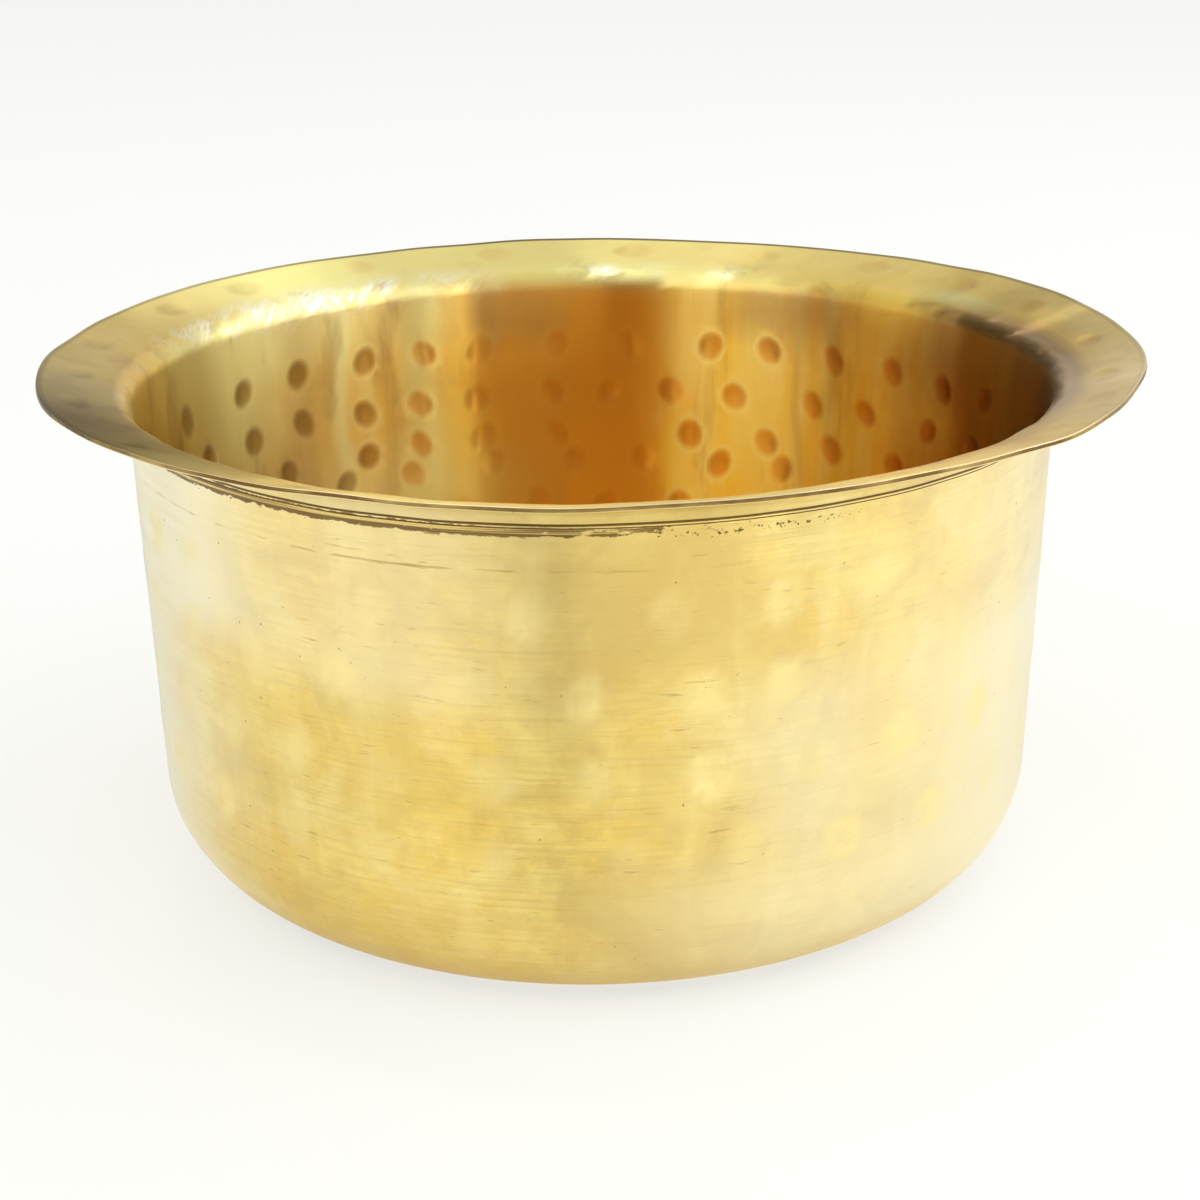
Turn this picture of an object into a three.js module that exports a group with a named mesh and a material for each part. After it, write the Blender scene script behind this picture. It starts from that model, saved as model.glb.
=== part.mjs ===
// Round cooking pot of hammered brass: one sheet, spun to a straight pan with a turned-out rim.
// Millimetres, +Z up. The origin is the middle of the flat bottom that the pot stands on.

import * as THREE from 'three';
import { mergeVertices } from 'three/addons/utils/BufferGeometryUtils.js';

const { degToRad } = THREE.MathUtils;

// Driving dimensions of the sheet, all on its outer side
const SHEET = 1;
const FOOT_RADIUS = 97.4;
const CORNER_RADIUS = 23;
const WALL_LEAN = degToRad(1.8);
const NECK_HEIGHT = 104.8;
const BEND_RADIUS = 4.2;
const RIM_RISE = degToRad(16);
const RIM_RADIUS = 119.1;

// Hammer marks: how many go round, their size, how deep they are pressed and how far the hand strays
const WALL_MARKS = { around: 33, width: 7, length: 8, depth: 0.4, stray: 1.2 };
const WALL_MARK_ROWS = 6;
const WALL_MARKS_REACH = 94.5;
const RIM_MARKS = { around: 22, width: 8, length: 8.5, depth: 0.3, stray: 1 };
const MARK_SIDES = 8;

// Facets: SEGMENTS divides by both counts of marks, so that every mark has facets of its own
const SEGMENTS = 66;
const CORNER_STEPS = 6;
const BEND_STEPS = 5;

const BRASS = new THREE.MeshStandardMaterial({ color: 0xd8b75c, roughness: 0.36, metalness: 1 });

// Stations along the sheet

// A place on the outer side, where the sheet runs at `slope` above the horizontal.
// (nr, nz) points out of the sheet, away from the food.
function station(r, z, slope) {
  return { r, z, nr: Math.sin(slope), nz: -Math.cos(slope) };
}

// Places on an arc that turns the sheet from one slope to another. The radius is negative
// where the arc's middle lies outside the pot.
function arc(middle, radius, fromSlope, toSlope, steps) {
  const places = [];
  for (let i = 0; i <= steps; i++) {
    const slope = THREE.MathUtils.lerp(fromSlope, toSlope, i / steps);
    places.push(station(middle.r + radius * Math.sin(slope), middle.z - radius * Math.cos(slope), slope));
  }
  return places;
}

// A place on the straight stretch between two stations
function between(a, b, share) {
  const mix = (key) => THREE.MathUtils.lerp(a[key], b[key], share);
  return { r: mix('r'), z: mix('z'), nr: mix('nr'), nz: mix('nz') };
}

const WALL_SLOPE = Math.PI / 2 - WALL_LEAN;
const cornerMiddle = { r: FOOT_RADIUS - CORNER_RADIUS * Math.sin(WALL_SLOPE), z: CORNER_RADIUS };
const corner = arc(cornerMiddle, CORNER_RADIUS, 0, WALL_SLOPE, CORNER_STEPS);
const foot = corner.at(-1);

const neckRadius = foot.r + (NECK_HEIGHT - foot.z) * Math.tan(WALL_LEAN);
const neck = station(neckRadius, NECK_HEIGHT, WALL_SLOPE);
const bendMiddle = { r: neck.r + BEND_RADIUS * neck.nr, z: neck.z + BEND_RADIUS * neck.nz };
const bend = arc(bendMiddle, -BEND_RADIUS, WALL_SLOPE, RIM_RISE, BEND_STEPS);

const flareStart = bend.at(-1);
const rim = station(RIM_RADIUS, flareStart.z + (RIM_RADIUS - flareStart.r) * Math.tan(RIM_RISE), RIM_RISE);

// Surfaces

const corners = [];

function face(a, b, c) {
  corners.push(...a, ...b, ...c);
}

// The point at a station, `turn` round the axis and `inwards` of the outer side
function point(place, turn, inwards) {
  const r = place.r - inwards * place.nr;
  return [r * Math.cos(turn), r * Math.sin(turn), place.z - inwards * place.nz];
}

function turnOf(segment) {
  return (segment % SEGMENTS) * (2 * Math.PI / SEGMENTS);
}

// A plain band of facets from one ring to the next, walking up the outside and down the inside
function band(from, fromInwards, to, toInwards) {
  for (let i = 0; i < SEGMENTS; i++) {
    const [here, next] = [turnOf(i), turnOf(i + 1)];
    const far = point(to, next, toInwards);
    face(point(from, here, fromInwards), point(from, next, fromInwards), far);
    face(point(from, here, fromInwards), far, point(to, here, toInwards));
  }
}

// Closes the walk on the axis: the underside first, the floor of the pot last
function disc(place, inwards, facesUp) {
  const middle = [0, 0, place.z - inwards * place.nz];
  for (let i = 0; i < SEGMENTS; i++) {
    const edge = [point(place, turnOf(i), inwards), point(place, turnOf(i + 1), inwards)];
    if (!facesUp) edge.reverse();
    face(middle, ...edge);
  }
}

// Fills the gap between two loops that run counterclockwise round `middle`, as flat outlines,
// and gives each face to `draw` as three places on the flat
function fillBetween(outer, inner, middle, draw) {
  const angle = (p) => Math.atan2(p.y - middle.y, p.x - middle.x);
  const inOrder = (loop) => [...loop].sort((p, q) => angle(p) - angle(q));
  const [wide, narrow] = [inOrder(outer), inOrder(inner)];
  const reach = (loop, i) => (i < loop.length ? angle(loop[i]) : Infinity);
  let [i, j] = [0, 0];
  while (i < wide.length || j < narrow.length) {
    const [w, n] = [wide[i % wide.length], narrow[j % narrow.length]];
    if (j >= narrow.length || (i < wide.length && reach(wide, i + 1) <= reach(narrow, j + 1))) {
      draw(w, wide[(i + 1) % wide.length], n);
      i += 1;
    } else {
      draw(w, narrow[(j + 1) % narrow.length], n);
      j += 1;
    }
  }
}

// A band of the inner side with one hammer mark in each equal share of the circle. `row` only
// changes how the hand strays from the even pitch.
function hammeredBand(from, to, marks, row) {
  const span = SEGMENTS / marks.around;
  const width = (2 * Math.PI / SEGMENTS) * ((from.r + to.r) / 2 - SHEET);
  const length = Math.hypot(to.r - from.r, to.z - from.z);
  for (let k = 0; k < marks.around; k++) {
    const middle = new THREE.Vector2(
      (span * width) / 2 + marks.stray * Math.sin(2.3 * k + 4.1 * row),
      length / 2 + marks.stray * 0.5 * Math.sin(3.7 * k + 1.9 * row),
    );
    const edge = [];
    for (let i = 0; i <= span; i++) edge.push(new THREE.Vector2(i * width, 0));
    for (let i = span; i >= 0; i--) edge.push(new THREE.Vector2(i * width, length));
    const brim = [];
    for (let i = 0; i < MARK_SIDES; i++) {
      const a = (i + 0.5) * (2 * Math.PI / MARK_SIDES);
      brim.push(new THREE.Vector2(marks.width * Math.cos(a), marks.length * Math.sin(a)).divideScalar(2).add(middle));
    }
    const onSheet = (p, pressed) => {
      const segment = k * span + p.x / width;
      const whole = Math.round(segment);
      const turn = Math.abs(segment - whole) < 1e-9 ? turnOf(whole) : segment * (2 * Math.PI / SEGMENTS);
      return point(between(from, to, p.y / length), turn, SHEET - pressed);
    };
    fillBetween(edge, brim, middle, (a, b, c) => face(onSheet(a, 0), onSheet(b, 0), onSheet(c, 0)));
    brim.forEach((p, i) => {
      face(onSheet(p, 0), onSheet(brim[(i + 1) % MARK_SIDES], 0), onSheet(middle, marks.depth));
    });
  }
}

// Walks the whole sheet: bottom, corner, wall, bend and rim on the outside, then back down the inside
function potGeometry() {
  const outside = [...corner, ...bend, rim];
  disc(corner[0], 0, false);
  for (let i = 1; i < outside.length; i++) band(outside[i - 1], 0, outside[i], 0);
  band(rim, 0, rim, SHEET);
  hammeredBand(rim, flareStart, RIM_MARKS, 0);
  for (let i = bend.length - 1; i > 0; i--) band(bend[i], SHEET, bend[i - 1], SHEET);

  const wallTop = between(foot, neck, (WALL_MARKS_REACH - foot.z) / (neck.z - foot.z));
  band(neck, SHEET, wallTop, SHEET);
  for (let row = 0; row < WALL_MARK_ROWS; row++) {
    const upper = between(wallTop, foot, row / WALL_MARK_ROWS);
    const lower = between(wallTop, foot, (row + 1) / WALL_MARK_ROWS);
    hammeredBand(upper, lower, WALL_MARKS, row + 1);
  }
  for (let i = corner.length - 1; i > 0; i--) band(corner[i], SHEET, corner[i - 1], SHEET);
  disc(corner[0], SHEET, true);

  const geometry = new THREE.BufferGeometry();
  geometry.setAttribute('position', new THREE.Float32BufferAttribute(corners, 3));
  const welded = mergeVertices(geometry, 1e-4);
  welded.computeVertexNormals();
  return welded;
}

// The one piece

const potBody = new THREE.Mesh(potGeometry(), BRASS);
potBody.name = 'pot_body';

const pot = new THREE.Group();
pot.add(potBody);

export default pot;
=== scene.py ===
# Round cooking pot of hammered brass on a pale studio table. Metres, +Z up, the pot stands on z = 0.
import math

import bmesh
import bpy
import numpy as np
from mathutils import Matrix, Vector


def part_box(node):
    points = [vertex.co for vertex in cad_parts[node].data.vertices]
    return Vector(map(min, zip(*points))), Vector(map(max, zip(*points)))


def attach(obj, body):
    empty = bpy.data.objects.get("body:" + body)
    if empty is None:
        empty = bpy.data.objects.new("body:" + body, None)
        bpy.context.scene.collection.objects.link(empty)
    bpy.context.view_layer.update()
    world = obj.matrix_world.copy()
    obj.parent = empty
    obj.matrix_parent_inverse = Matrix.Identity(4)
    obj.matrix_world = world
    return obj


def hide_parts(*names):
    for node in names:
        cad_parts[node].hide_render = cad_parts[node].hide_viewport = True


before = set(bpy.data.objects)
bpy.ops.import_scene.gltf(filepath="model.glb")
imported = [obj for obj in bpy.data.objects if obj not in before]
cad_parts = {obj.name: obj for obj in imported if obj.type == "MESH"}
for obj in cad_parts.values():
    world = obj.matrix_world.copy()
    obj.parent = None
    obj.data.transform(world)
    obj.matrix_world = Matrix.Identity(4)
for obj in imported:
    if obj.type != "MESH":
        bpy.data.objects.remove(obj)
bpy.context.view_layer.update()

# The sheet. One disc of brass 1 mm thick, spun over a block to a flat-bottomed pan. The wall
# leans out a little, and at the neck the spinner turned the sheet outwards to make the rim.
MM = 0.001
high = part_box("pot_body")[1]
sheet = 1.0 * MM
corner_radius = 23 * MM
foot_radius = 97.4 * MM
wall_slope = math.radians(90 - 1.8)
bend_radius = 4.2 * MM
rim_slope = math.radians(16)
rim_radius = high.x - 0.5 * MM
neck_height = 104.15 * MM


def spun_sheet():
    """The outer side of the sheet in fine steps, from the middle of the bottom to the rim: rows of
    radius, height, slope and length along the sheet."""
    turn_r = foot_radius - corner_radius * math.sin(wall_slope)
    run = [(turn_r * share, 0.0, 0.0) for share in np.linspace(0, 1, 60)[:-1]]
    for slope in np.linspace(0, wall_slope, 80):
        run.append((turn_r + corner_radius * math.sin(slope), corner_radius * (1 - math.cos(slope)), slope))
    foot_r, foot_z, _ = run[-1]
    neck_r = foot_r + (neck_height - foot_z) / math.tan(wall_slope)
    for share in np.linspace(0, 1, 200)[1:-1]:
        run.append((foot_r + (neck_r - foot_r) * share, foot_z + (neck_height - foot_z) * share, wall_slope))
    middle_r = neck_r + bend_radius * math.sin(wall_slope)
    middle_z = neck_height - bend_radius * math.cos(wall_slope)
    for slope in np.linspace(wall_slope, rim_slope, 60):
        r = middle_r - bend_radius * math.sin(slope)
        run.append((r, middle_z + bend_radius * math.cos(slope), slope))
    flare_r, flare_z, _ = run[-1]
    for r in np.linspace(flare_r, rim_radius, 40)[1:]:
        run.append((r, flare_z + (r - flare_r) * math.tan(rim_slope), rim_slope))
    run = np.array(run)
    steps = np.hypot(np.diff(run[:, 0], prepend=0), np.diff(run[:, 1], prepend=0))
    return np.column_stack([run, np.cumsum(steps)])


spun = spun_sheet()
sheet_end = spun[-1, 3]


def along_at(height):
    """How far along the sheet from the middle of the bottom a height on the outer wall lies."""
    return float(np.interp(height, spun[:, 1], spun[:, 3]))


def place_on_sheet(along, inwards):
    """Radius and height of a place along the sheet, `inwards` of its outer side."""
    slope = np.interp(along, spun[:, 3], spun[:, 2])
    r = np.interp(along, spun[:, 3], spun[:, 0]) - inwards * np.sin(slope)
    z = np.interp(along, spun[:, 3], spun[:, 1]) + inwards * np.cos(slope)
    return np.column_stack([r, z])


corner_start = along_at(0.01 * MM)
foot = along_at(corner_radius)
neck = along_at(neck_height)

# The hammer marks. After spinning, the wall was hammered from the inside in rows, and the rim from
# above, with a small round-faced hammer. Each row has its height in millimetres and the angles of
# its marks, as seen in the photograph.
rng = np.random.default_rng(11)
seen_inside = {
    89.6: [20, 30, 40.5, 52, 62.5, 71.5, 84, 95, 107, 116, 126, 137.5, 149, 163, 177],
    77.2: [22, 33, 45, 55, 67.5, 77.5, 87, 96, 107.5, 117, 125.5, 137, 147, 158, 171],
    66.0: [29, 40, 51, 63, 74.5, 96, 106.5, 117, 126, 141, 152],
    59.0: [59.5, 70, 82, 93, 105, 118, 130.5, 142.5],
    47.0: [30, 42, 53, 64, 76, 88, 99, 111, 122, 134, 146],
    35.0: [35, 47, 58, 70, 81, 93, 104, 116, 128, 139],
}
seen_outside = {
    86.0: [184, 195, 206, 216, 229, 245, 262, 278, 291, 303, 315, 341, 352],
    70.0: [178, 190, 203, 215, 228, 240.5, 255, 268.5, 281, 292, 305, 317, 329, 348, 359],
    52.5: [172, 184, 197, 210, 222, 234, 246, 258.5, 269.7, 282, 295, 308, 322, 333, 346, 358],
    35.0: [180, 193, 206, 219, 232, 244, 258, 273.5, 287, 300, 313, 326, 339, 352],
}
seen_on_rim = [50, 66, 84, 103, 122, 140, 153, 172, 185, 198, 218, 240, 261, 280, 299, 318, 336, 347]
seen_on_rim += [3, 20, 35]
neck_blows = 64

# The buff rubbed the brims of the marks bright at two stretches, and the marks between them get only about a
# third of the film and painted shade
bright_brims = ((60, 77), (112, 136))
fainter_marks = (79, 112)

blows = []
for marks, spread_out in ((seen_inside, 1), (seen_outside, 1.3)):
    for row_height, row in marks.items():
        for degrees in row:
            rubbed = any(start < degrees < end for start, end in bright_brims)
            faint = fainter_marks[0] < degrees < fainter_marks[1]
            blows.append(
                dict(
                    angle=math.radians(degrees + rng.normal(0, 0.3)),
                    along=along_at(row_height * MM + rng.normal(0, 0.45) * MM),
                    wide=rng.uniform(2.9, 3.4) * spread_out * MM,
                    long=rng.uniform(3.3, 3.9) * spread_out * MM,
                    deep=rng.uniform(0.17, 0.25) * MM,
                    lean=rng.uniform(-0.25, 0.25),
                    worn=rng.uniform(0.25, 1),
                    filmed_and_shaded=rng.uniform(0.8, 1) * (0.35 if faint else 1),
                    ringed=1 if rubbed else 0.08,
                )
            )
for degrees in seen_on_rim:
    blows.append(
        dict(
            angle=math.radians(degrees),
            along=sheet_end - rng.uniform(6.5, 8.5) * MM,
            wide=rng.uniform(4.2, 5.2) * MM,
            long=rng.uniform(2.9, 3.6) * MM,
            deep=rng.uniform(0.16, 0.24) * MM,
            lean=rng.uniform(-0.1, 0.1),
            worn=0.0,
            filmed_and_shaded=0.2,
            ringed=0,
        )
    )
for step in range(neck_blows):
    blows.append(
        dict(
            angle=math.radians(step * 360 / neck_blows + rng.normal(0, 0.8)),
            along=neck + rng.uniform(1.5, 4) * MM,
            wide=rng.uniform(2.4, 3.4) * MM,
            long=rng.uniform(2, 3) * MM,
            deep=rng.uniform(0.04, 0.1) * MM,
            lean=rng.uniform(0.3, 1),
            worn=0.0,
            filmed_and_shaded=0.0,
            ringed=0,
        )
    )


def turn_from(blow, angle):
    """How far round the pot an angle is from a blow, the short way."""
    return (angle - blow["angle"] + math.pi) % (2 * math.pi) - math.pi


def hammered(angle, along, radius):
    """At each point, how deep the hammer pressed, how much film and painted shade its mark gets, how
    brightly that mark was scraped outside, and how near it lies to the brim of a mark, where the buff rubbed
    hardest."""
    depth, filmed_and_shaded, worn, brim = np.zeros((4, len(angle)))
    for blow in blows:
        near = np.flatnonzero(np.abs(along - blow["along"]) < 2 * blow["long"])
        across = turn_from(blow, angle[near]) * radius[near]
        upwards = along[near] - blow["along"]
        reached = np.abs(across) < 2 * blow["wide"]
        near, across, upwards = near[reached], across[reached], upwards[reached]
        across = across + blow["lean"] * upwards
        dish = 1 - (across / blow["wide"]) ** 2 - (upwards / blow["long"]) ** 2
        depth[near] += blow["deep"] * 0.5 * (dish + np.sqrt(dish**2 + 0.05)) * (dish > -2)
        within = np.clip((dish + 0.4) / 0.9, 0, 1)
        just_outside = np.clip((dish + 1.3) / 0.8, 0, 1) * (1 - within)
        worn[near] = np.maximum(worn[near], np.clip((dish + 0.5) / 0.8, 0, 1) * blow["worn"])
        filmed_and_shaded[near] = np.maximum(filmed_and_shaded[near], within * blow["filmed_and_shaded"])
        brim[near] = np.maximum(brim[near], just_outside * blow["ringed"])
    return depth, filmed_and_shaded, worn, np.clip(brim - filmed_and_shaded, 0, 1)


# The pot. One mesh with a true outside and inside 1 mm apart, closed at the rim by the cut edge,
# whose two arrises are a little rounded by the file. Facets are finer where the hammer fell.
around = 288
arris = 0.18 * MM
arris_steps = 3
middle_ring = 12 * MM


def spread(*stretches):
    """Lengths along the sheet, cut into even steps: (from, to, step) for each stretch in turn."""
    cuts = [np.linspace(a, b, max(round((b - a) / step), 1) + 1)[:-1] for a, b, step in stretches]
    return np.concatenate([*cuts, [stretches[-1][1]]])


bottom_and_corner = ((middle_ring, corner_start, 12 * MM), (corner_start, foot, 2 * MM))
outside_along = spread(
    *bottom_and_corner,
    (foot, neck - 3.4 * MM, 2.1 * MM),
    (neck - 3.4 * MM, neck + 0.4 * MM, 0.17 * MM),
    (neck + 0.4 * MM, neck + 6 * MM, 0.6 * MM),
    (neck + 6 * MM, sheet_end, 1.8 * MM),
)
inside_along = spread(
    *bottom_and_corner,
    (foot, neck - 4 * MM, 2.1 * MM),
    (neck - 4 * MM, neck + 7 * MM, 0.6 * MM),
    (neck + 7 * MM, sheet_end, 1.9 * MM),
)[::-1]
outside_rows = place_on_sheet(outside_along, 0)
inside_rows = place_on_sheet(inside_along, sheet)
outwards = np.array([math.cos(rim_slope), math.sin(rim_slope)])
downwards = np.array([math.sin(rim_slope), -math.cos(rim_slope)])
edge_rows = []
for inwards, quarter in ((arris, 0), (sheet - arris, 1)):
    for step in range(arris_steps + 1):
        swing = (quarter + step / arris_steps - 1) * math.pi / 2
        place = spun[-1, :2] - downwards * inwards - outwards * arris
        edge_rows.append(place + arris * (outwards * math.cos(swing) - downwards * math.sin(swing)))
outside_rows[-1] -= outwards * arris
inside_rows[0] -= outwards * arris
rows = np.vstack([outside_rows[:-1], edge_rows, inside_rows[1:]])
row_along = np.concatenate([outside_along[:-1], np.full(len(edge_rows), sheet_end), inside_along[1:]])
mid_edge = len(outside_along) - 1 + arris_steps
first_inside = len(outside_along) - 1 + len(edge_rows)
row_side = np.where(np.arange(len(rows)) <= mid_edge, 0.0, 1.0)

angles = np.arange(around) * 2 * math.pi / around
ring_x, ring_y = np.cos(angles), np.sin(angles)
flat = np.stack([rows[:, :1] * ring_x, rows[:, :1] * ring_y, np.repeat(rows[:, 1:], around, 1)], -1)
flat = np.vstack([flat.reshape(-1, 3), [[0, 0, 0], [0, 0, sheet]]])
ring = np.arange(around)
next_on = (ring + 1) % around
quads = []
for row in range(len(rows) - 1):
    here, above = row * around, (row + 1) * around
    quads.append(np.column_stack([here + ring, here + next_on, above + next_on, above + ring]))
quads = np.vstack(quads)
last = (len(rows) - 1) * around
bottom_fan = np.column_stack([next_on, ring, np.full(around, len(flat) - 2)])
floor_fan = np.column_stack([last + ring, last + next_on, np.full(around, len(flat) - 1)])

mesh = bpy.data.meshes.new("pot")
mesh.from_pydata(flat.tolist(), [], quads.tolist() + bottom_fan.tolist() + floor_fan.tolist())
turned_finish, edge_finish, hammered_finish = 0, 1, 2
quad_row = np.repeat(np.arange(len(rows) - 1), around)
quad_finish = np.where(quad_row < mid_edge, turned_finish, hammered_finish)
quad_finish[quad_row == mid_edge] = edge_finish
fan_finish = np.repeat([turned_finish, hammered_finish], around)
finish_index = np.concatenate([quad_finish, fan_finish])
mesh.polygons.foreach_set("material_index", finish_index.astype(np.int32))


def keep(name, values):
    """Keeps a number for each point of the mesh, for the finishes to read."""
    layer = mesh.attributes.get(name) or mesh.attributes.new(name, "FLOAT", "POINT")
    layer.data.foreach_set("value", np.asarray(values, np.float32))


def kept(name):
    """The kept number at each point, also at those that the cutting below adds."""
    values = np.empty(len(mesh.vertices), np.float32)
    mesh.attributes[name].data.foreach_get("value", values)
    return values.astype(float)


keep("along", np.append(np.repeat(row_along, around), [0, 0]))
keep("inner", np.append(np.repeat(row_side, around), [0, 1]))

# Facets inside that a blow touches are cut three by three, with a skirt round each hard blow
wall_radius = 100 * MM
light_tap = 0.1 * MM
middle = np.mean(flat[quads], axis=1)
quad_angle = np.arctan2(middle[:, 1], middle[:, 0])
quad_along = (row_along[quad_row] + row_along[quad_row + 1]) / 2
touched = np.zeros(len(quads), bool)
for blow in blows:
    skirt = 1.3 * MM if blow["deep"] > light_tap else 0
    across = np.abs(turn_from(blow, quad_angle)) * wall_radius - skirt
    upwards = np.abs(quad_along - blow["along"]) - skirt
    touched |= (across < blow["wide"]) & (upwards < blow["long"])
fine = np.flatnonzero(touched & (quad_row >= first_inside))
shaped = bmesh.new()
shaped.from_mesh(mesh)
shaped.faces.ensure_lookup_table()
cut = {edge for i in fine for edge in shaped.faces[i].edges}
bmesh.ops.subdivide_edges(shaped, edges=list(cut), cuts=2, use_grid_fill=True)
shaped.to_mesh(mesh)
shaped.free()

spots = np.empty(3 * len(mesh.vertices))
mesh.vertices.foreach_get("co", spots)
spots = spots.reshape(-1, 3)
angle = np.arctan2(spots[:, 1], spots[:, 0])
radius = np.hypot(spots[:, 0], spots[:, 1])
height = spots[:, 2]
along = kept("along")
inside = kept("inner") > 0.5
slope = np.interp(along, spun[:, 3], spun[:, 2])
depth, filmed_and_shaded, worn, brim = hammered(angle, along, radius)


def waves(angle, lowest, highest, size, seed):
    """A smooth uneven line round the pot: sines with the given numbers of waves, of random phase."""
    dice = np.random.default_rng(seed)
    total = np.zeros_like(angle)
    for n in range(lowest, highest + 1):
        total += dice.normal() * np.sin(n * angle + dice.uniform(0, 2 * math.pi))
    return size * total / math.sqrt((highest - lowest + 1) / 2)


def facing(degrees, wide, edge=2, sway=0.0):
    """1 where the pot faces an angle, falling off over `wide` degrees to each side. A larger `edge`
    makes the fall steeper, and `sway` shifts it by some degrees."""
    turn = (np.degrees(angle) + sway - degrees + 180) % 360 - 180
    return np.exp(-(np.abs(turn / wide) ** edge))


def past_neck(middle, reach):
    """1 at `middle` millimetres past the neck along the sheet, falling off over `reach` of them."""
    return np.exp(-(((along - neck - middle * MM) / (reach * MM)) ** 2))


# Outside, each blow pushed out a low swelling, which the scraper took down to almost nothing
swelling = 0.13 * MM
on_wall = np.clip(height / (25 * MM), 0, 1) * np.clip((radius - 60 * MM) / (20 * MM), 0, 1)
push = np.where(inside, depth, swelling * (1 - np.exp(-depth / swelling)))
push += on_wall * (waves(angle, 9, 34, 0.06 * MM, seed=3) + waves(angle, 2, 6, 0.12 * MM, seed=5))

# The rim was turned over more loosely at the right, so the bend is fuller there. The tool chattered
# as it went, and left fine waves on the bend.
fuller_bend = 0.95 * MM
chatter_waves = 0.02 * MM
push += fuller_bend * facing(8, 42) * past_neck(4.5, 6.5)
on_bend = past_neck(3.5, 4)
slanting_waves = waves(angle + 40 * along, 30, 70, chatter_waves, seed=15)
push += on_bend * (waves(angle, 24, 60, chatter_waves, seed=13) + slanting_waves)

# Two turned grooves run round the outside of the neck, where the scraper was lifted off
grooves = (
    dict(along=neck - 0.1 * MM, wide=0.24 * MM, deep=0.17 * MM, grime=0.18 * MM),
    dict(along=neck - 0.75 * MM, wide=0.16 * MM, deep=0.08 * MM, grime=0.06 * MM),
)
for groove in grooves:
    cut_in = groove["deep"] * np.exp(-(((along - groove["along"]) / groove["wide"]) ** 2))
    cut_in *= 1 + waves(angle, 5, 40, 0.25, seed=21)
    push -= np.where(inside, 0, np.maximum(cut_in, 0))

# The rim wanders: it is not quite round or level, and has a flat with a corner at the left. The
# whole pot leans a little to the left, and its floor is a little raised in the middle.
tilt = 0.62 * MM
raised_floor = 0.35 * MM
flat_at_left = -0.8 * MM * facing(172, 7)
near_rim = np.clip((along - (sheet_end - 26 * MM)) / (26 * MM), 0, 1) ** 2
out = push * np.sin(slope) + near_rim * (waves(angle, 3, 13, 0.17 * MM, seed=7) + flat_at_left)
lift = -push * np.cos(slope) * (radius > 60 * MM) + near_rim * waves(angle, 2, 9, 0.13 * MM, seed=9)
lift += np.clip(height / high.z, 0, 1) ** 4 * tilt * np.cos(angle)
lift += raised_floor * np.clip(1 - radius / (70 * MM), 0, 1) ** 0.5
new_radius = np.clip(radius + out, 0, high.x)
ratio = np.divide(new_radius, radius, out=np.ones_like(radius), where=radius > 1e-6)
shape = np.column_stack([spots[:, 0] * ratio, spots[:, 1] * ratio, np.clip(height + lift, 0, high.z)])
mesh.vertices.foreach_set("co", shape.ravel())


def patch(degrees, wide, lowest=-20, highest=140, soft=12, edge=2):
    """A soft patch of the pot, from 0 to 1, about an angle and between two heights in millimetres,
    where it fades over `soft`. A larger `edge` makes its sides sharper."""
    sway = 0.6 * np.sin(height / (6 * MM) + degrees)
    above = np.clip((height - lowest * MM) / (soft * MM) + 0.5, 0, 1)
    below = np.clip((highest * MM - height) / (soft * MM) + 0.5, 0, 1)
    return facing(degrees, wide, edge, sway) * above * below


def patches(*rows):
    """Soft patches added up. Each row is how strong one is, and then what `patch` takes."""
    return sum(strength * patch(*where) for strength, *where in rows)


def eased(share):
    """A rise from 0 to 1, kept between them and given soft ends."""
    share = np.clip(share, 0, 1)
    return share * share * (3 - 2 * share)


# The polish is uneven: paler where the buff or the scraper worked longest, redder or brown where it missed.
# Paler patches also carry painted highlights and reflections, and brown ones painted shade. The top of the
# rim was only brushed.
up_rim = np.clip((along - neck) / (5 * MM), 0, 1)
below_rim = np.clip((neck + 11 * MM - along) / (7 * MM), 0, 1)
off_floor = eased((height - 12 * MM) / (30 * MM))
inside_wall = inside * (1 - up_rim) * off_floor
outside_wall = ~inside * np.clip((radius - 72 * MM) / (16 * MM), 0, 1)
rim_top = inside * up_rim
# Partly rubbed brass and partly painted reflections on the inside wall
paler_and_painted_light = inside_wall * patches(
    (0.4, 52.5, 1.2),
    (0.5, 57, 1.2),
    (0.3, 62, 4),
    (0.4, 72.5, 2),
    (0.25, 110, 12, -20, 60),
    (0.7, 116, 3),
    (0.5, 128, 16, -20, 64, 16),
    (0.7, 130, 1.5),
    (0.45, 134, 26, 93, 140, 8),
    (0.3, 148, 32),
    (0.9, 157, 14),
)
# Painted highlights and reflections of the lamps on the outside wall, and painted light over the floor's
# shadow low at the front
paler_and_painted_light += outside_wall * patches(
    (1, 199, 18, 8),
    (0.6, 218, 12, 72),
    (0.35, 246, 17, 66),
    (0.3, 292, 22, -10, 32),
    (0.3, 294, 8, 34, 72),
    (0.5, 333, 32, 8),
    (0.4, 337, 29, 8, 72),
)
# Painted highlights on the far bend and the right flange, and painted light on the top of the rim
paler_and_painted_light += inside * on_bend * 0.7 * patch(80, 16)
paler_and_painted_light += inside * past_neck(8, 3.5) * 0.8 * patch(31, 8)
paler_and_painted_light += rim_top * patches((0.7, 98, 50), (0.6, 136, 16))
golden = inside_wall * patches(
    (0.6, 64, 11, -20, 92, 16, 4),
    (0.9, 76.3, 2.4, -20, 72, 12, 4),
    (0.4, 110.5, 1.6),
    (0.5, 113, 8, -20, 72),
    (1, 210, 20),
    (1, 331, 13),
)
golden += inside * on_bend * 0.3 * patch(38, 17, edge=4)
golden += inside * past_neck(9, 7) * 0.25 * patch(10, 34)
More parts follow.
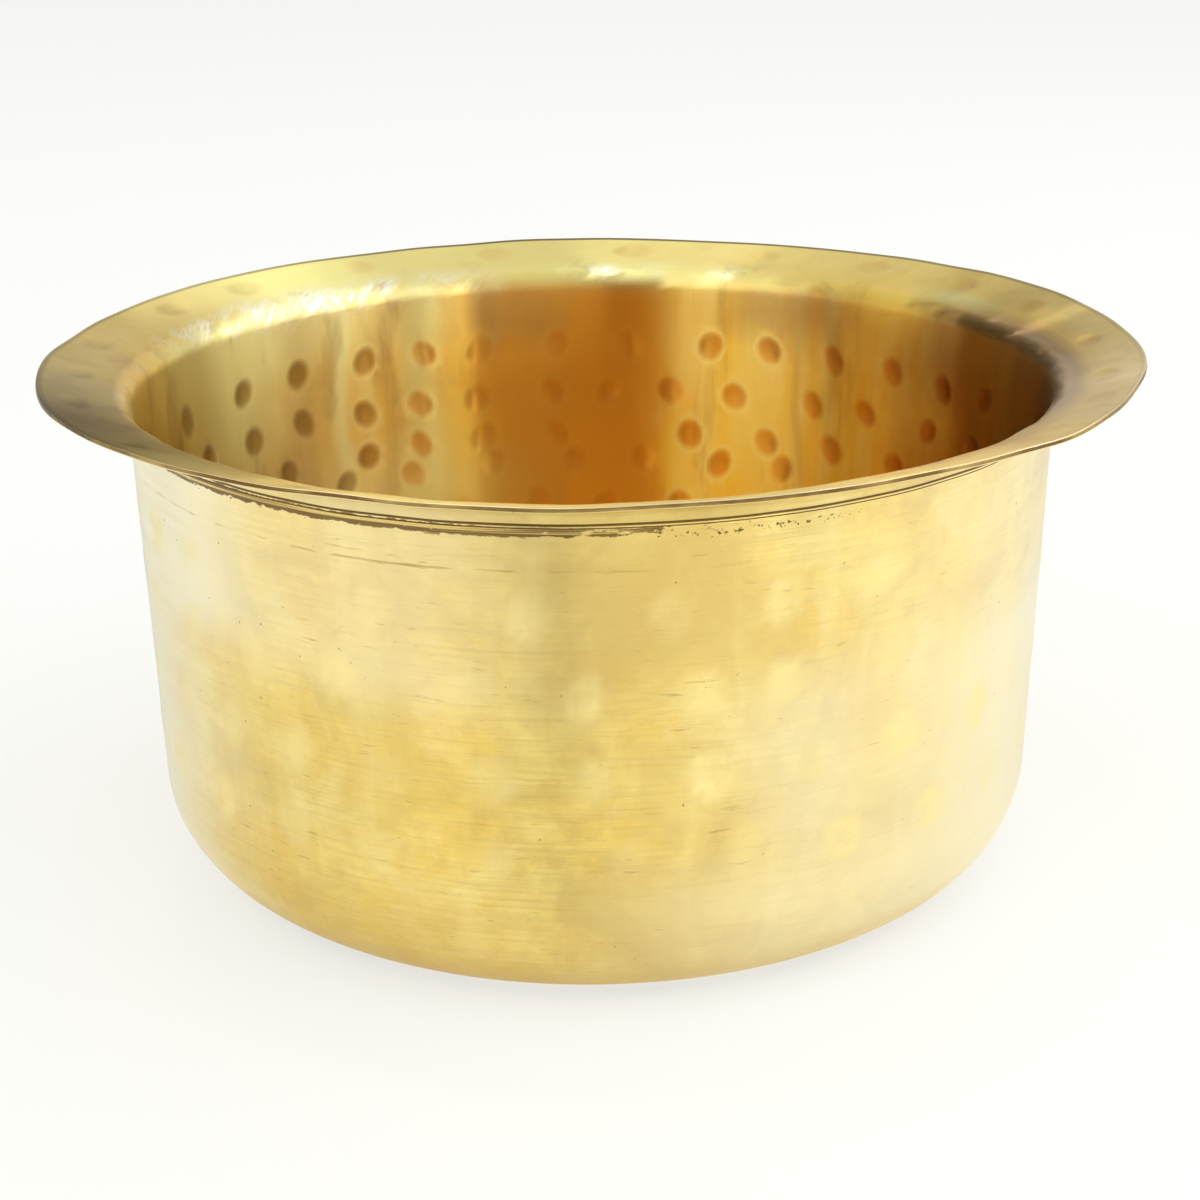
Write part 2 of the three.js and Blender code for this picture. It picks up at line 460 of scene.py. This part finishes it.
# Partly tarnish and partly painted shade on the inside wall
browner_and_painted_shade = inside_wall * patches(
    (0.35, 29, 9, 88),
    (0.75, 57, 12, 91, 140, 18),
    (0.25, 70, 10, 91),
    (0.6, 101, 9, 90),
    (0.25, 106, 2),
    (0.45, 121.5, 2.2),
    (0.25, 125.5, 2),
    (0.45, 138, 6),
    (0.3, 166, 5),
)
# Painted shade low on the wall and at the foot, and a painted dark reflection high at the front
browner_and_painted_shade += outside_wall * patches(
    (0.3, 222, 12, -10, 30),
    (0.5, 243, 16, -10, 26),
    (1, 250, 80, -10, 8, 10),
    (0.35, 270, 8, 70, 99, 8),
)
# Painted shade on the dark right bend and the wall below it, and on the rim at the back right
browner_and_painted_shade += inside * off_floor * below_rim * (patch(5, 33, edge=3) + 0.4 * patch(2, 16))
browner_and_painted_shade += rim_top * 0.6 * patch(318, 38)
redder = inside_wall * patches((0.4, 34, 9), (0.55, 107, 7))
redder += inside_wall * (patch(92, 13, edge=6) + patch(270, 31, edge=4))
redder += inside * past_neck(6, 6) * 0.85 * patch(18, 28)
keep("paler_and_painted_light", paler_and_painted_light)
keep("golden", golden)
keep("browner_and_painted_shade", browner_and_painted_shade)
keep("redder", redder)
keep("on_rim", eased((along - neck - 4 * MM) / (9 * MM)))

# What the finishes draw finer: the marks, with painted shade in them, and their brims, chatter and three
# painted glint spots on the bend, and the stretches that the scraper left, pitted or scuffed. The far edge
# of the rim gets a painted shadow.
# Painted glints: near-white spots where the three small overhead lamps reflect on the far bend
glint_spots = past_neck(4.5, 1.9) * patches((1.4, 87.4, 2), (0.98, 80.1, 1.5), (1.4, 70.3, 2))
# How strongly each mark gets film and painted shade
keep("mark", filmed_and_shaded)
keep("left_mark", filmed_and_shaded * facing(172, 50, edge=16))
keep("worn", worn)
keep("brim", brim)
keep("chattered", on_bend * (0.12 + 0.88 * patch(136, 30)))
keep("bend_flecks_and_glints", on_bend * patch(136, 27, edge=4) + glint_spots)
keep("swirl_x", np.cos(angle + 14 * along))
keep("swirl_y", np.sin(angle + 14 * along))
keep("unscraped", patch(236, 46, edge=4) + 0.6 * patch(60, 60))
keep("pitted", patch(288, 14, edge=4) + patches((0.8, 225, 30), (0.5, 90, 60)))
keep("scuffed", patches((1, 246, 7, 93, 100, 4), (0.8, 242, 8, 74, 84, 6)))
# Where the far lip is painted dark as shadow
keep("far_edge", patch(88, 78))
mesh.shade_smooth()
mesh.update()
pot = bpy.data.objects.new("pot", mesh)
bpy.context.scene.collection.objects.link(pot)


# The finish outside. The wall was scraped and scoured round and round on the lathe, so it is a
# satin pale gold with fine turning lines, blotches of tarnish and small dark specks.
def new_finish(name, roughness, anisotropy):
    """A bare metal with its shader, and the direction in which the tool went round."""
    material = bpy.data.materials.new(name)
    material.use_nodes = True
    tree = material.node_tree
    shader = tree.nodes["Principled BSDF"]
    shader.inputs["Metallic"].default_value = 1
    shader.inputs["Roughness"].default_value = roughness
    shader.inputs["Anisotropic"].default_value = anisotropy
    shader.inputs["Anisotropic Rotation"].default_value = 0.25
    if anisotropy:
        way_round = tree.nodes.new("ShaderNodeTangent")
        way_round.direction_type = "RADIAL"
        way_round.axis = "Z"
        tree.links.new(way_round.outputs[0], shader.inputs["Tangent"])
    mesh.materials.append(material)
    return tree, shader


def feed(tree, socket, value):
    """Links a socket to another node's output, or gives it a plain value."""
    if isinstance(value, bpy.types.NodeSocket):
        tree.links.new(value, socket)
    elif value is not None:
        socket.default_value = value


def math_node(tree, how, a, b=0.0, c=None):
    node = tree.nodes.new("ShaderNodeMath")
    node.operation = how
    for socket, value in zip(node.inputs, (a, b, c)):
        feed(tree, socket, value)
    return node.outputs[0]


def plus(tree, a, b):
    return math_node(tree, "ADD", a, b)


def minus(tree, a, b):
    return math_node(tree, "SUBTRACT", a, b)


def times(tree, a, b):
    return math_node(tree, "MULTIPLY", a, b)


def reading(tree, name):
    """The number kept for each point of the mesh under a name."""
    node = tree.nodes.new("ShaderNodeAttribute")
    node.attribute_name = name
    return node.outputs["Fac"]


def object_place(tree):
    return tree.nodes.new("ShaderNodeTexCoord").outputs["Object"]


def joined(tree, x, y, z):
    node = tree.nodes.new("ShaderNodeCombineXYZ")
    for socket, value in zip(node.inputs, (x, y, z)):
        feed(tree, socket, value)
    return node.outputs[0]


def drawn_out(tree, across, length):
    """Coordinates that run `across` times to the metre round the pot and `length` times along the
    sheet, so that a pattern is drawn out round the pot, as the lathe leaves it."""
    parts = tree.nodes.new("ShaderNodeSeparateXYZ")
    feed(tree, parts.inputs[0], object_place(tree))
    x = times(tree, parts.outputs[0], across)
    y = times(tree, parts.outputs[1], across)
    return joined(tree, x, y, times(tree, reading(tree, "along"), length))


def cloud(tree, place, scale, detail=4.0, roughness=0.55, distortion=0.0):
    """Uneven noise about 0.5."""
    node = tree.nodes.new("ShaderNodeTexNoise")
    feed(tree, node.inputs["Vector"], place)
    node.inputs["Scale"].default_value = scale
    node.inputs["Detail"].default_value = detail
    node.inputs["Roughness"].default_value = roughness
    node.inputs["Distortion"].default_value = distortion
    return node.outputs[0]


def between(tree, value, start, end, to_start=0.0, to_end=1.0):
    """Runs from `to_start` to `to_end` while a value runs from `start` to `end`."""
    node = tree.nodes.new("ShaderNodeMapRange")
    node.clamp = True
    for socket, v in zip(node.inputs, (value, start, end, to_start, to_end)):
        feed(tree, socket, v)
    return node.outputs[0]


def blend(tree, share, first, second, how="MIX"):
    node = tree.nodes.new("ShaderNodeMix")
    node.data_type = "RGBA"
    node.blend_type = how
    feed(tree, node.inputs[0], share)
    feed(tree, node.inputs[6], first)
    feed(tree, node.inputs[7], second)
    return node.outputs[2]


def bumped(tree, heights, distance):
    node = tree.nodes.new("ShaderNodeBump")
    node.inputs["Distance"].default_value = distance
    feed(tree, node.inputs["Height"], heights)
    return node.outputs[0]


def band(tree, middle, half, soft):
    """1 inside a band of the sheet `half` to each side of `middle`, and 0 outside it."""
    off = math_node(tree, "ABSOLUTE", minus(tree, reading(tree, "along"), middle))
    return between(tree, off, half, half + soft, 1, 0)


tree, shader = new_finish("brass_turned", roughness=0.32, anisotropy=0.9)
pale_gold = (0.93, 0.72, 0.22, 1)
deep_gold = (0.88, 0.60, 0.12, 1)
dull_olive = (0.72, 0.54, 0.17, 1)
# Pale scouring, also used for painted highlights and reflections
scoured_white_and_highlight = (0.95, 0.87, 0.60, 1)
scraped_pale = (0.95, 0.79, 0.34, 1)
# Worn brown, also used for painted shade low on the wall
worn_brown_and_shade = (0.64, 0.44, 0.12, 1)
stain_brown = (0.36, 0.23, 0.07, 1)
foot_brown = (0.22, 0.13, 0.04, 1)
oxide = (0.11, 0.06, 0.02, 1)

# Clouds of tarnish, fine turning lines, scratches and drips
stains = cloud(tree, object_place(tree), 16, detail=5, roughness=0.6)
blotch = cloud(tree, object_place(tree), 48, detail=7, roughness=0.65)
mottle = cloud(tree, object_place(tree), 190, detail=4, roughness=0.6)
smoke = cloud(tree, object_place(tree), 36, detail=7, roughness=0.62, distortion=0.8)
fine_lines = cloud(tree, drawn_out(tree, 26, 1500), 1, detail=2)
scratches = cloud(tree, drawn_out(tree, 60, 1300), 1, detail=3, roughness=0.7)
drips = cloud(tree, drawn_out(tree, 110, 14), 1, detail=3)
colour = blend(tree, between(tree, blotch, 0.42, 0.6, 0, 0.9), pale_gold, deep_gold)
colour = blend(tree, between(tree, stains, 0.46, 0.62, 0, 0.8), colour, dull_olive)
colour = blend(tree, between(tree, mottle, 0.44, 0.66, 0, 0.45), colour, dull_olive)
colour = blend(tree, between(tree, smoke, 0.5, 0.64, 0, 0.55), colour, worn_brown_and_shade)
colour = blend(tree, between(tree, smoke, 0.46, 0.34, 0, 0.5), colour, scraped_pale)
colour = blend(tree, between(tree, fine_lines, 0.42, 0.6, 0, 0.3), colour, dull_olive)
colour = blend(tree, between(tree, scratches, 0.54, 0.7, 0, 0.42), colour, worn_brown_and_shade)
colour = blend(tree, between(tree, drips, 0.54, 0.68, 0, 0.22), colour, scraped_pale)

# Scoured patches with painted highlights and reflections, brown patches with painted shade, and the
# swellings over the hammer marks, scraped bright
colour = blend(tree, reading(tree, "paler_and_painted_light"), colour, scoured_white_and_highlight)
colour = blend(tree, times(tree, reading(tree, "browner_and_painted_shade"), 0.8), colour, worn_brown_and_shade)
broken_lines = between(tree, fine_lines, 0.4, 0.6, 0, 0.25)
broken = plus(tree, between(tree, mottle, 0.35, 0.62, 0.2, 0.8), broken_lines)
colour = blend(tree, times(tree, reading(tree, "worn"), broken), colour, scraped_pale)

# Short dark dashes round the wall, one long stroke high up, the brown edge of the foot, and specks
dashes = cloud(tree, drawn_out(tree, 130, 1100), 1, detail=3)
dirty = plus(tree, dashes, times(tree, blotch, 0.35))
dirty = plus(tree, dirty, times(tree, reading(tree, "scuffed"), 0.13))
dirty = minus(tree, dirty, times(tree, reading(tree, "paler_and_painted_light"), 0.1))
colour = blend(tree, between(tree, dirty, 0.84, 0.98, 0, 0.6), colour, stain_brown)
stroke = band(tree, along_at(95 * MM), 0.12 * MM, 0.25 * MM)
stroke = times(tree, stroke, between(tree, dashes, 0.45, 0.6))
stroke = times(tree, stroke, reading(tree, "unscraped"))
colour = blend(tree, times(tree, stroke, 0.5), colour, stain_brown)
foot_edge = band(tree, along_at(1.8 * MM), 1.6 * MM, 1.2 * MM)
foot_edge = times(tree, foot_edge, between(tree, blotch, 0.3, 0.6, 0.35, 0.95))
colour = blend(tree, foot_edge, colour, foot_brown)
specks = cloud(tree, object_place(tree), 700, detail=2)
colour = blend(tree, between(tree, specks, 0.75, 0.79, 0, 0.6), colour, oxide)

# Under the rim the scraper did not reach, and a dark band of fine lines with a ragged edge is left,
# with pits below it and grime in the two turned grooves
ring_gold, ring_brown = (0.72, 0.53, 0.18, 1), (0.16, 0.09, 0.03, 1)
rings = cloud(tree, drawn_out(tree, 14, 1700), 1, detail=3, roughness=0.65)
scale_marks = cloud(tree, drawn_out(tree, 300, 900), 1, detail=4, roughness=0.7)
left_dark = times(tree, band(tree, neck - 1.45 * MM, 0.6 * MM, 0.9 * MM), reading(tree, "unscraped"))
ragged = plus(tree, left_dark, math_node(tree, "MULTIPLY_ADD", scale_marks, 2.4, -1.2))
ringed = blend(tree, between(tree, rings, 0.37, 0.5), ring_gold, ring_brown)
colour = blend(tree, between(tree, ragged, 0.5, 0.68, 0, 0.92), colour, ringed)
pit_spots = cloud(tree, object_place(tree), 1500, detail=2)
pit_rows = times(tree, band(tree, neck - 2.5 * MM, 0.35 * MM, 0.9 * MM), reading(tree, "pitted"))
pits = plus(tree, pit_spots, times(tree, pit_rows, 0.3))
colour = blend(tree, between(tree, pits, 0.86, 0.9, 0, 0.9), colour, oxide)
for groove in grooves:
    grime = band(tree, groove["along"], groove["grime"], 0.12 * MM)
    colour = blend(tree, times(tree, grime, 0.95), colour, oxide)
feed(tree, shader.inputs["Base Color"], colour)
dullness = plus(tree, fine_lines, blotch)
feed(tree, shader.inputs["Roughness"], between(tree, dullness, 0.7, 1.3, 0.285, 0.38))
relief = plus(tree, fine_lines, times(tree, mottle, 0.8))
feed(tree, shader.inputs["Normal"], bumped(tree, relief, 0.03 * MM))

# The cut edge. The shears and the file left it bare; its olive brown is partly tarnish and partly painted
# shade for the dark that the narrow face mirrors, between its bright arrises.
tree, shader = new_finish("brass_cut_edge", roughness=0.4, anisotropy=0.0)
olive_edge, brown_edge_and_shade = (0.40, 0.28, 0.10, 1), (0.14, 0.08, 0.03, 1)
edge_patches = cloud(tree, object_place(tree), 60, detail=3)
colour = blend(tree, between(tree, edge_patches, 0.35, 0.6), olive_edge, brown_edge_and_shade)
feed(tree, shader.inputs["Base Color"], colour)

# The finish inside. It was polished after hammering, so it mirrors itself and goes deep orange, with a
# duller film left in the hammer marks where the buff did not reach, darkened further with painted shade for
# the dark that the hollows mirror.
tree, shader = new_finish("brass_hammered", roughness=0.28, anisotropy=1.0)
warm_gold = (0.82, 0.54, 0.09, 1)
red_gold = (0.80, 0.46, 0.06, 1)
copper_red = (0.79, 0.41, 0.05, 1)
wiped_pale = (0.88, 0.74, 0.25, 1)
# Buffed pale, also used for painted highlights and reflections
buffed_pale_and_highlight = (0.86, 0.78, 0.31, 1)
rim_gold = (0.89, 0.69, 0.25, 1)
rim_olive = (0.77, 0.58, 0.20, 1)
bright_gold = (0.90, 0.66, 0.10, 1)
# Near white, painted as glints on the bend
burnished_glint_white = (0.97, 0.94, 0.76, 1)
brown_film = (0.40, 0.25, 0.09, 1)
# Tarnish, also used for painted shade
tarnish_and_shade = (0.34, 0.19, 0.075, 1)
# Painted highlight on the near arris and painted shadow on the far lip
arris_highlight_gold = (0.95, 0.84, 0.50, 1)
lip_shadow_brown = (0.14, 0.11, 0.06, 1)

# The rim, and the patches that the buff left redder or more golden, and paler ones that are partly buffing
# and partly painted highlight and reflection
blotch = cloud(tree, object_place(tree), 45, detail=5)
smears = cloud(tree, object_place(tree), 75, detail=6, roughness=0.65, distortion=1.2)
colour = blend(tree, between(tree, blotch, 0.4, 0.7), warm_gold, red_gold)
on_top = blend(tree, between(tree, smears, 0.4, 0.62), rim_gold, rim_olive)
colour = blend(tree, times(tree, reading(tree, "on_rim"), 0.7), colour, on_top)
colour = blend(tree, reading(tree, "redder"), colour, copper_red)
colour = blend(tree, reading(tree, "golden"), colour, bright_gold)
colour = blend(tree, reading(tree, "paler_and_painted_light"), colour, buffed_pale_and_highlight)

# Upright wipes of the cloth on the wall, pale and brown, and tarnish with painted shade where it missed
wipes = cloud(tree, drawn_out(tree, 75, 16), 1, detail=4, roughness=0.6, distortion=0.4)
unwiped = math_node(tree, "MAXIMUM", reading(tree, "on_rim"), reading(tree, "redder"))
wiped = minus(tree, 1, unwiped)
pale_wipes = times(tree, between(tree, wipes, 0.5, 0.66, 0, 0.55), wiped)
brown_wipes = times(tree, between(tree, wipes, 0.46, 0.34, 0, 0.45), wiped)
colour = blend(tree, pale_wipes, colour, wiped_pale)
colour = blend(tree, brown_wipes, colour, brown_film)
missed_and_shaded = plus(tree, reading(tree, "browner_and_painted_shade"), times(tree, blotch, 0.5))
colour = blend(tree, between(tree, missed_and_shaded, 0.5, 1.2, 0, 0.8), colour, tarnish_and_shade)

# Chatter of the tool on the bend: slanting flecks in clumps, painted near white as glints, and three painted
# glint spots
swirl_x = times(tree, reading(tree, "swirl_x"), 40)
swirl_y = times(tree, reading(tree, "swirl_y"), 40)
slanting = joined(tree, swirl_x, swirl_y, times(tree, reading(tree, "along"), 210))
chatter = cloud(tree, slanting, 1, detail=5, roughness=0.7, distortion=1.2)
flecks_and_glints = times(tree, between(tree, chatter, 0.42, 0.58, 0.25, 1), reading(tree, "bend_flecks_and_glints"))
flecks_and_glints = times(tree, flecks_and_glints, between(tree, smears, 0.46, 0.54, 0.3, 1))
colour = blend(tree, flecks_and_glints, colour, burnished_glint_white)

# The rubbed brims of the hammer marks, and the film with painted shade in them, which multiplies the metal's
# colour
# Film and painted shade: the marks are darkened where their hollows mirror the dark
mark_film_and_shade = (0.77, 0.46, 0.22, 1)
left_mark_film_and_shade = (0.56, 0.68, 0.8, 1)
in_mark = reading(tree, "mark")
colour = blend(tree, times(tree, reading(tree, "brim"), 0.7), colour, wiped_pale)
colour = blend(tree, in_mark, colour, mark_film_and_shade, "MULTIPLY")
colour = blend(tree, reading(tree, "left_mark"), colour, left_mark_film_and_shade, "MULTIPLY")

# The arris of the rim has a painted highlight on the near side and a painted shadow on the far side
near_edge = minus(tree, 1, reading(tree, "far_edge"))
arris_highlight = band(tree, sheet_end, 0.05 * MM, 0.2 * MM)
arris_highlight = times(tree, arris_highlight, between(tree, blotch, 0.35, 0.6, 0.3, 0.9))
colour = blend(tree, times(tree, arris_highlight, near_edge), colour, arris_highlight_gold)
lip_shadow = times(tree, band(tree, sheet_end, 0.9 * MM, 0.4 * MM), reading(tree, "far_edge"))
colour = blend(tree, times(tree, lip_shadow, 0.92), colour, lip_shadow_brown)
feed(tree, shader.inputs["Base Color"], colour)
satin = between(tree, reading(tree, "on_rim"), 0, 1, 0.285, 0.35)
rubbed = times(tree, reading(tree, "paler_and_painted_light"), between(tree, wipes, 0.35, 0.65, 0, 0.07))
filmed = times(tree, in_mark, 0.06)
feed(tree, shader.inputs["Roughness"], plus(tree, plus(tree, satin, rubbed), filmed))
fine_lines = cloud(tree, drawn_out(tree, 24, 1400), 1, detail=2)
chatter_relief = times(tree, times(tree, chatter, 4), reading(tree, "chattered"))
relief = plus(tree, fine_lines, chatter_relief)
feed(tree, shader.inputs["Normal"], bumped(tree, relief, 0.02 * MM))

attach(pot, "root")
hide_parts("pot_body")

# The table. A wide pale sheet of paper that the pot stands on. What sees it directly sees it as
# bright as the room, and light falls on it as on grey paper, so that it keeps the pot's shadow.
half_width = 12.0
paper_grey = (0.30, 0.30, 0.294, 1)
room_white = (0.98, 0.985, 0.96, 1)
paper_glow = 0.68
corners = [(x * half_width, y * half_width, 0) for x, y in ((-1, -1), (1, -1), (1, 1), (-1, 1))]
floor_mesh = bpy.data.meshes.new("table")
floor_mesh.from_pydata(corners, [], [(0, 1, 2, 3)])
table = bpy.data.objects.new("table", floor_mesh)
bpy.context.scene.collection.objects.link(table)
paper = bpy.data.materials.new("paper")
paper.use_nodes = True
tree = paper.node_tree
tree.nodes.clear()


def seen_directly(tree):
    """1 for what the camera, a reflection or a glass sees, 0 for the light that a surface gets."""
    path = tree.nodes.new("ShaderNodeLightPath")
    direct = math_node(tree, "MAXIMUM", path.outputs["Is Camera Ray"], path.outputs["Is Glossy Ray"])
    return math_node(tree, "MAXIMUM", direct, path.outputs["Is Transmission Ray"])


diffuse = tree.nodes.new("ShaderNodeBsdfDiffuse")
diffuse.inputs[0].default_value = paper_grey
glow = tree.nodes.new("ShaderNodeEmission")
glow.inputs[0].default_value = room_white
feed(tree, glow.inputs[1], times(tree, seen_directly(tree), paper_glow))
both = tree.nodes.new("ShaderNodeAddShader")
feed(tree, both.inputs[0], diffuse.outputs[0])
feed(tree, both.inputs[1], glow.outputs[0])
out_node = tree.nodes.new("ShaderNodeOutputMaterial")
feed(tree, out_node.inputs[0], both.outputs[0])
floor_mesh.materials.append(paper)

# The light. A pale room with a darker side behind the pot's left and another in front, and soft
# lamps: a wide one at the right, a tall one at the front left, long low ones and strips at the
# sides, and three small bright ones overhead that glint on the far bend.
world = bpy.data.worlds.new("room")
bpy.context.scene.world = world
world.use_nodes = True
tree = world.node_tree
backdrop = tree.nodes["Background"]
backdrop.inputs[0].default_value = room_white


def heading(bearing, rise):
    """The direction at a bearing clockwise from straight behind the pot, and a rise, in degrees."""
    b, e = math.radians(bearing), math.radians(rise)
    return Vector((math.sin(b) * math.cos(e), math.cos(b) * math.cos(e), math.sin(e)))


room_light = 0.85
level = room_light
sight = tree.nodes.new("ShaderNodeTexCoord").outputs["Generated"]
for bearing, rise, core, reach, shade in ((322, 8, 24, 40, 0.1), (185, 10, 8, 23, 0.06)):
    aimed = tree.nodes.new("ShaderNodeVectorMath")
    aimed.operation = "DOT_PRODUCT"
    feed(tree, aimed.inputs[0], sight)
    aimed.inputs[1].default_value = heading(bearing, rise)
    cosines = math.cos(math.radians(reach)), math.cos(math.radians(core))
    level = times(tree, level, between(tree, aimed.outputs["Value"], *cosines, 1, shade))
path = tree.nodes.new("ShaderNodeLightPath")
feed(tree, backdrop.inputs[1], math_node(tree, "MAXIMUM", level, path.outputs["Is Camera Ray"]))

mid_pot = Vector((0, 0, 60 * MM))


def soft_box(name, bearing, rise, away, size, brightness):
    """A flat lamp that faces the pot. Its brightness is 1 where it looks as bright as white paper."""
    lamp = bpy.data.lights.new(name, "AREA")
    lamp.shape = "RECTANGLE"
    lamp.size, lamp.size_y = size
    lamp.energy = brightness * math.pi * size[0] * size[1]
    holder = bpy.data.objects.new(name, lamp)
    holder.location = mid_pot + heading(bearing, rise) * away
    to_pot = mid_pot - holder.location
    holder.rotation_euler = to_pot.to_track_quat("-Z", "Y").to_euler()
    bpy.context.scene.collection.objects.link(holder)


soft_box("window_right", 91, 27, 1.3, (1.65, 1.15), 1.32)
soft_box("window_left", 222, 29, 1.3, (0.85, 1.1), 1.05)
soft_box("low_front", 162, 6, 1.3, (1, 0.22), 2.6)
soft_box("low_left", 264, 5, 1.3, (1.6, 0.2), 1.25)
soft_box("lamp_behind", 48, 56, 1.4, (0.45, 0.3), 1.3)
soft_box("lamp_far", 349, 31, 1.6, (0.18, 0.14), 4.2)
soft_box("lamp_high", 2, 44, 1.6, (0.5, 0.15), 0.5)
soft_box("ceiling_panel", 0, 73, 1.5, (0.6, 0.2), 1)
for number, bearing, rise, brightness in ((1, 230, 87.2, 75), (2, 266, 81.8, 45), (3, 282, 74.1, 62)):
    soft_box("ceiling_spot_%d" % number, bearing, rise, 1.54, (0.05, 0.05), brightness)
strips = ((82, 0.03, 3.5), (108, 0.03, 2.5), (123, 0.03, 2.5), (138, 0.03, 9), (247, 0.12, 0.4))
for bearing, wide, brightness in strips:
    soft_box("strip_%d" % bearing, bearing, 26, 1.2, (wide, 0.9), brightness)

# The camera. It stands half a metre in front of the pot and looks down on it at about 20 degrees.
# The photograph is 1200 pixels wide, and a fit of its perspective gives the focal length in pixels.
photo_pixels = 1200
focal_pixels = 2340.4
pitch, yaw, roll = 0.345, 0.003, -0.0105
camera = bpy.data.cameras.new("camera")
camera.sensor_width = 36
camera.lens = camera.sensor_width * focal_pixels / photo_pixels
viewer = bpy.data.objects.new("camera", camera)
viewer.location = (0, -0.5, 233.54 * MM)
look = Matrix.Rotation(-yaw, 3, "Z") @ Matrix.Rotation(math.pi / 2 - pitch, 3, "X")
look = look @ Matrix.Rotation(roll, 3, "Z")
viewer.rotation_euler = look.to_euler()
bpy.context.scene.collection.objects.link(viewer)
bpy.context.scene.camera = viewer
bpy.context.scene.view_settings.view_transform = "Standard"
